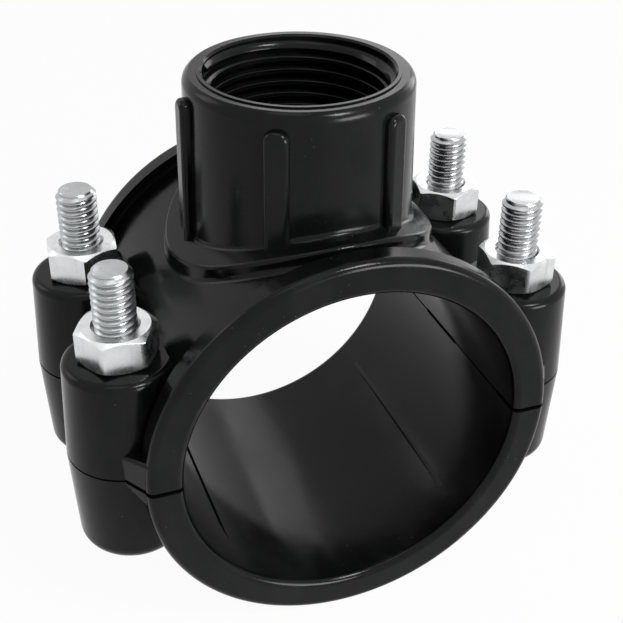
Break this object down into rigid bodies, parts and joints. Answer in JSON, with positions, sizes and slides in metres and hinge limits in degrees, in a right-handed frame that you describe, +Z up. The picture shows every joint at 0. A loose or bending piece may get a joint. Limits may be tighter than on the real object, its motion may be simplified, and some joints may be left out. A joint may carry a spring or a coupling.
{
  "type": "tapping saddle",
  "caption": "Two-part clamp saddle for a plastic pipe with a ribbed, female-threaded outlet on top, a ring seal and hexagon bolts and nuts.",
  "frame": {"origin": "centre of the pipe bore: on its axis, midway between the two end faces", "axes": "+Y along the pipe bore, +Z up the outlet's axis, +X to the right when the front end faces the viewer"},
  "size_m": [0.0772, 0.0494, 0.0777],
  "materials": {
    "shell": "moulded black polypropylene, satin",
    "seal": "matt black nitrile rubber",
    "bolts": "bright zinc-plated steel",
    "nuts": "bright zinc-plated steel"
  },
  "bodies": {
    "lower": {"lower_saddle": "shell", "bolt_front_left": "bolts", "bolt_front_right": "bolts", "bolt_rear_left": "bolts", "bolt_rear_right": "bolts"},
    "upper": {"upper_saddle": "shell", "seal_ring": "seal"},
    "nut_front_left": {"nut_front_left": "nuts"},
    "nut_front_right": {"nut_front_right": "nuts"},
    "nut_rear_left": {"nut_rear_left": "nuts"},
    "nut_rear_right": {"nut_rear_right": "nuts"}
  },
  "joints": [
    {"name": "clamp_opening", "type": "slide", "parent": "lower", "child": "upper", "axis": [0, 0, 1], "range_m": [0, 0.008]},
    {"name": "nut_front_left_turn", "type": "hinge", "parent": "upper", "child": "nut_front_left", "pos_m": [-0.0301, -0.012, 0.0175], "axis": [0, 0, 1], "range_deg": [0, 2881]},
    {"name": "nut_front_right_turn", "type": "hinge", "parent": "upper", "child": "nut_front_right", "pos_m": [0.0301, -0.012, 0.0175], "axis": [0, 0, 1], "range_deg": [0, 2881]},
    {"name": "nut_rear_left_turn", "type": "hinge", "parent": "upper", "child": "nut_rear_left", "pos_m": [-0.0301, 0.012, 0.0175], "axis": [0, 0, 1], "range_deg": [0, 2881]},
    {"name": "nut_rear_right_turn", "type": "hinge", "parent": "upper", "child": "nut_rear_right", "pos_m": [0.0301, 0.012, 0.0175], "axis": [0, 0, 1], "range_deg": [0, 2881]}
  ],
  "couplings": [
    {"joint": "nut_front_left_turn", "follows": "clamp_opening", "rad_per_m": 6283.2},
    {"joint": "nut_front_right_turn", "follows": "clamp_opening", "rad_per_m": 6283.2},
    {"joint": "nut_rear_left_turn", "follows": "clamp_opening", "rad_per_m": 6283.2},
    {"joint": "nut_rear_right_turn", "follows": "clamp_opening", "rad_per_m": 6283.2}
  ]
}
